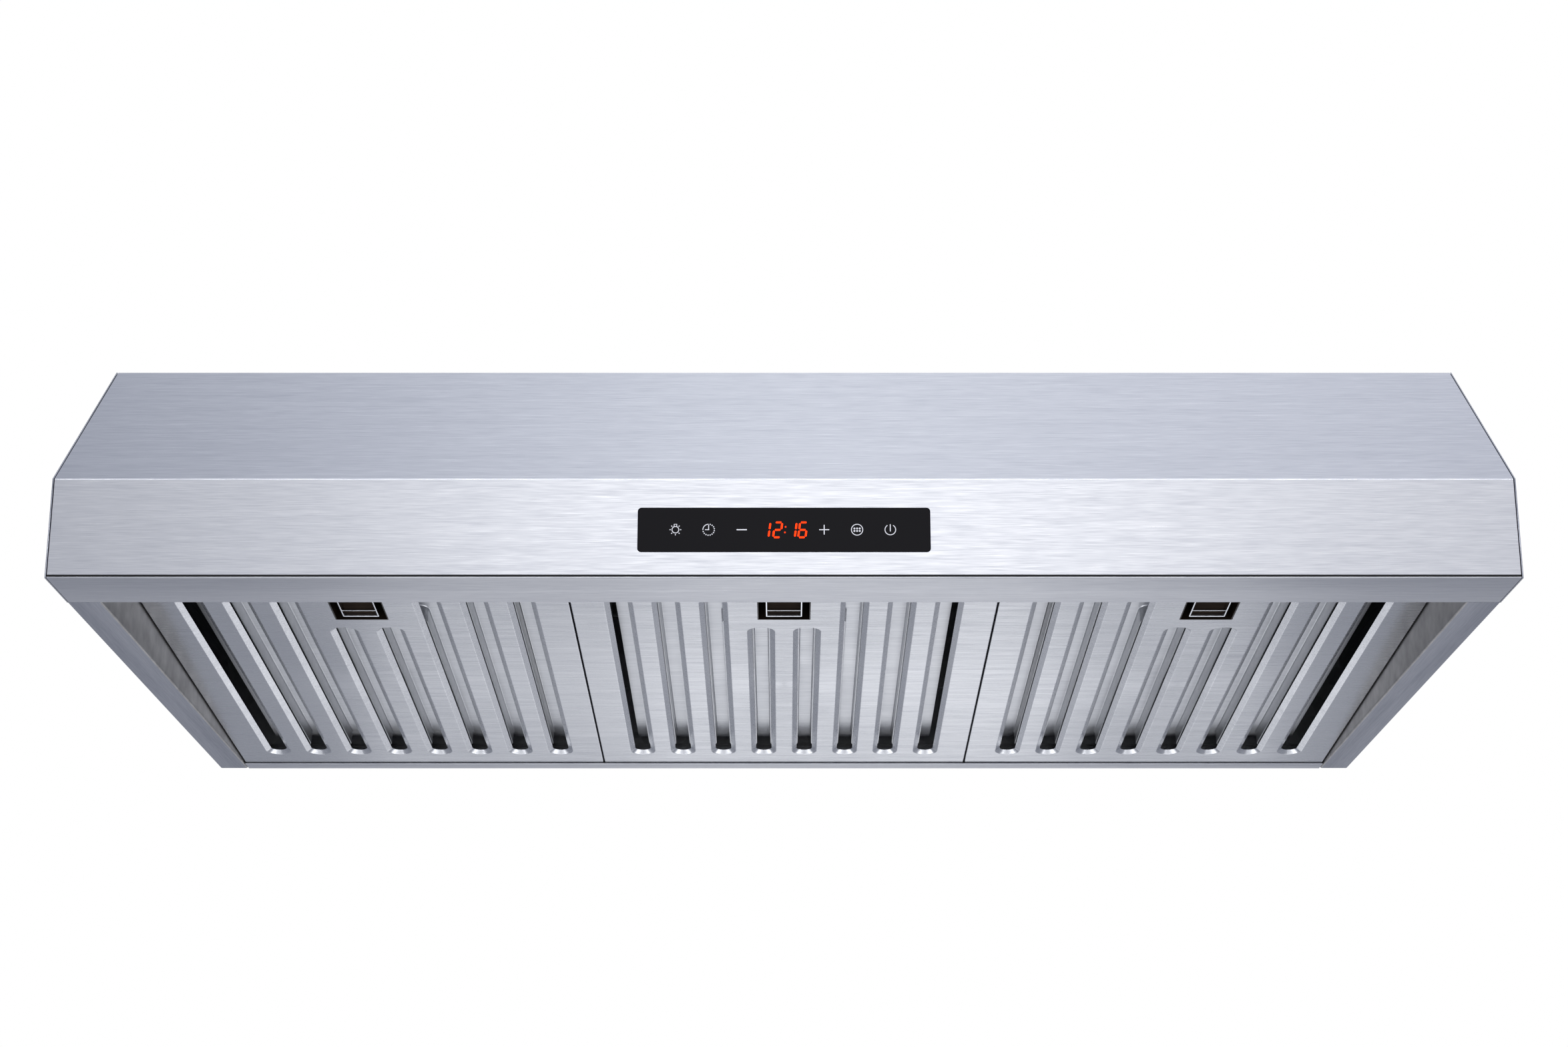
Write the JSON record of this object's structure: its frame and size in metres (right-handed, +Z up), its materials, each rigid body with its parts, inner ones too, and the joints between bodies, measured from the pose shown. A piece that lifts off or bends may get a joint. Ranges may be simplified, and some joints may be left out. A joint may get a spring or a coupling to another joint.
{
  "type": "under cabinet range hood",
  "caption": "Under cabinet range hood in brushed stainless steel with baffle filters that tilt down, a flush touch glass, a centrifugal blower and a round duct collar with a damper.",
  "frame": {"origin": "centre of the four cabinet bolt holes, on the upper face of the top plate", "axes": "+X to the right seen from the front, +Y to the rear wall, +Z up into the cabinet"},
  "size_m": [0.908, 0.551, 0.246],
  "materials": {
    "brushed_stainless": "horizontal brushed grain",
    "filter_stainless": "fine brushed",
    "galvanised_sheet": "galvanised",
    "wheel_steel": "galvanised",
    "black_glass": "polished glass, black printed behind",
    "black_plastic": "moulded",
    "chrome": "polished",
    "zinc_plated_steel": "zinc plated",
    "lamp_trim": "satin",
    "frosted_lens": "frosted",
    "circuit_board": "solder mask",
    "motor_enamel": "enamel",
    "capacitor_can": "drawn can",
    "grommet_rubber": "moulded",
    "wire_sleeve": "sleeve"
  },
  "bodies": {
    "canopy": {"back_panel": "galvanised_sheet", "cable_grommet": "grommet_rubber", "canopy_skin": "brushed_stainless", "clock_display": "black_plastic", "collar_gasket": "grommet_rubber", "collar_screws": "zinc_plated_steel", "control_carrier": "black_plastic", "damper_pin": "zinc_plated_steel", "duct_collar": "galvanised_sheet", "electronics_box": "galvanised_sheet", "front_lip": "brushed_stainless", "junction_box": "galvanised_sheet", "lamp_housing_left": "lamp_trim", "lamp_housing_right": "lamp_trim", "lamp_lens_left": "frosted_lens", "lamp_lens_right": "frosted_lens", "led_board_left": "circuit_board", "led_board_right": "circuit_board", "left_side_panel": "brushed_stainless", "light_strip": "brushed_stainless", "motor_bracket": "galvanised_sheet", "motor_case": "motor_enamel", "motor_end_cap": "motor_enamel", "mounting_bar_left": "galvanised_sheet", "mounting_bar_right": "galvanised_sheet", "power_board": "circuit_board", "rear_filter_rail": "brushed_stainless", "rear_outlet_cover": "galvanised_sheet", "right_side_panel": "brushed_stainless", "run_capacitor": "capacitor_can", "scroll_cheek_left": "galvanised_sheet", "scroll_cheek_right": "galvanised_sheet", "scroll_wrap": "galvanised_sheet", "terminal_block": "black_plastic", "touch_board": "circuit_board", "touch_glass": "black_glass", "wiring_harness": "wire_sleeve"},
    "blower_wheel": {"impeller": "wheel_steel", "motor_rotor": "zinc_plated_steel"},
    "damper_front": {"damper_flap_front": "galvanised_sheet"},
    "damper_rear": {"damper_flap_rear": "galvanised_sheet"},
    "filter_left": {"filter_tray_left": "filter_stainless", "filter_baffle_left": "filter_stainless", "latch_cup_left": "black_plastic", "latch_spring_left": "zinc_plated_steel"},
    "latch_left": {"latch_pull_left": "chrome", "latch_bolt_left": "zinc_plated_steel"},
    "filter_middle": {"filter_tray_middle": "filter_stainless", "filter_baffle_middle": "filter_stainless", "latch_cup_middle": "black_plastic", "latch_spring_middle": "zinc_plated_steel"},
    "latch_middle": {"latch_pull_middle": "chrome", "latch_bolt_middle": "zinc_plated_steel"},
    "filter_right": {"filter_tray_right": "filter_stainless", "filter_baffle_right": "filter_stainless", "latch_cup_right": "black_plastic", "latch_spring_right": "zinc_plated_steel"},
    "latch_right": {"latch_pull_right": "chrome", "latch_bolt_right": "zinc_plated_steel"}
  },
  "joints": [
    {"name": "wheel_spin", "type": "hinge", "parent": "canopy", "child": "blower_wheel", "pos_m": [0, 0.057, -0.06], "axis": [1, 0, 0], "continuous": true},
    {"name": "damper_front_lift", "type": "hinge", "parent": "canopy", "child": "damper_front", "pos_m": [0, 0.109, 0.0237], "axis": [-1, 0, 0], "range_deg": [0, 75]},
    {"name": "damper_rear_lift", "type": "hinge", "parent": "canopy", "child": "damper_rear", "pos_m": [0, 0.109, 0.0237], "axis": [1, 0, 0], "range_deg": [0, 75]},
    {"name": "filter_left_tilt", "type": "hinge", "parent": "canopy", "child": "filter_left", "pos_m": [-0.2876, 0.1926, -0.183], "axis": [1, 0, 0], "range_deg": [0, 70]},
    {"name": "latch_left_slide", "type": "slide", "parent": "filter_left", "child": "latch_left", "axis": [0, 0.9977, -0.068], "range_m": [0, 0.004], "stiffness_N_per_m": 500, "springref_m": -0.006, "deforming": ["latch_spring_left"]},
    {"name": "filter_middle_tilt", "type": "hinge", "parent": "canopy", "child": "filter_middle", "pos_m": [0, 0.1926, -0.183], "axis": [1, 0, 0], "range_deg": [0, 70]},
    {"name": "latch_middle_slide", "type": "slide", "parent": "filter_middle", "child": "latch_middle", "axis": [0, 0.9977, -0.068], "range_m": [0, 0.004], "stiffness_N_per_m": 500, "springref_m": -0.006, "deforming": ["latch_spring_middle"]},
    {"name": "filter_right_tilt", "type": "hinge", "parent": "canopy", "child": "filter_right", "pos_m": [0.2876, 0.1926, -0.183], "axis": [1, 0, 0], "range_deg": [0, 70]},
    {"name": "latch_right_slide", "type": "slide", "parent": "filter_right", "child": "latch_right", "axis": [0, 0.9977, -0.068], "range_m": [0, 0.004], "stiffness_N_per_m": 500, "springref_m": -0.006, "deforming": ["latch_spring_right"]}
  ]
}
